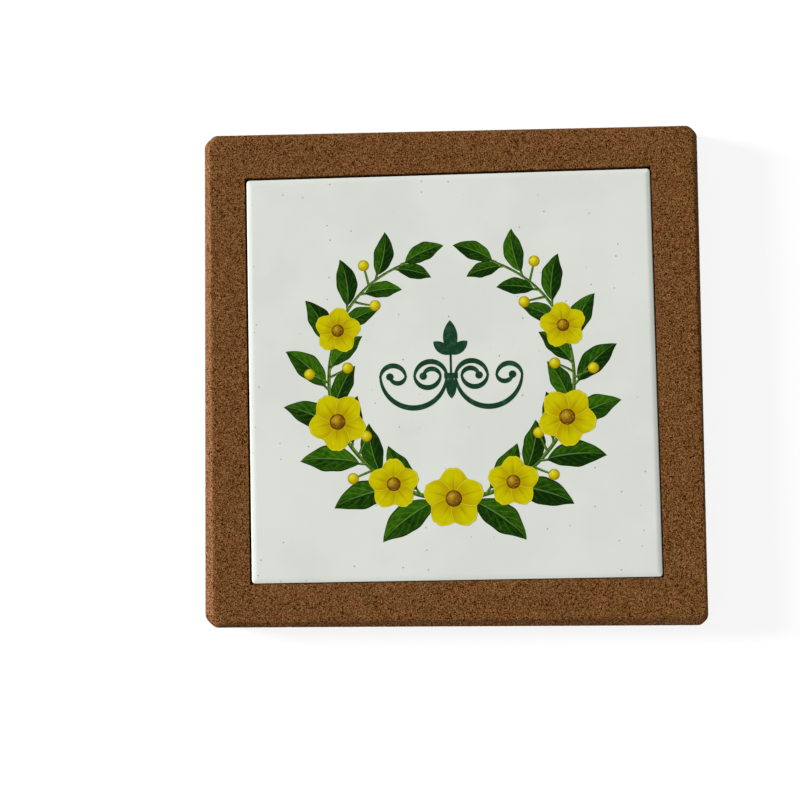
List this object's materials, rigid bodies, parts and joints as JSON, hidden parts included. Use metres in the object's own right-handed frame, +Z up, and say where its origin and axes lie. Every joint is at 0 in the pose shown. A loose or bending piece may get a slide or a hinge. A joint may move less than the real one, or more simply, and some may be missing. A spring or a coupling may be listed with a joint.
{
  "type": "trivet",
  "caption": "Square trivet: a glazed tile with a printed wreath, set almost flush in a cork tray with chamfered edges.",
  "frame": {"origin": "on the table, under the middle of the cork square", "axes": "+Z up out of the tile's face, +Y towards the open top of the printed wreath, +X to its right"},
  "size_m": [0.1876, 0.1876, 0.0122],
  "materials": {
    "cork": "matte",
    "glue": "satin",
    "adhesive": "satin",
    "bisque": "matte",
    "glaze": "gloss",
    "leaf_green": "gloss",
    "stem_green": "gloss",
    "petal_yellow": "gloss",
    "eye_ochre": "gloss",
    "ornament_green": "gloss"
  },
  "bodies": {
    "root": {"cork_base": "cork", "cork_frame": "cork", "laminating_glue": "glue", "tile_adhesive": "adhesive", "tile_body": "bisque", "tile_glaze": "glaze", "leaf_print": "leaf_green", "stem_print": "stem_green", "petal_print": "petal_yellow", "eye_print": "eye_ochre", "ornament_print": "ornament_green"}
  },
  "joints": []
}
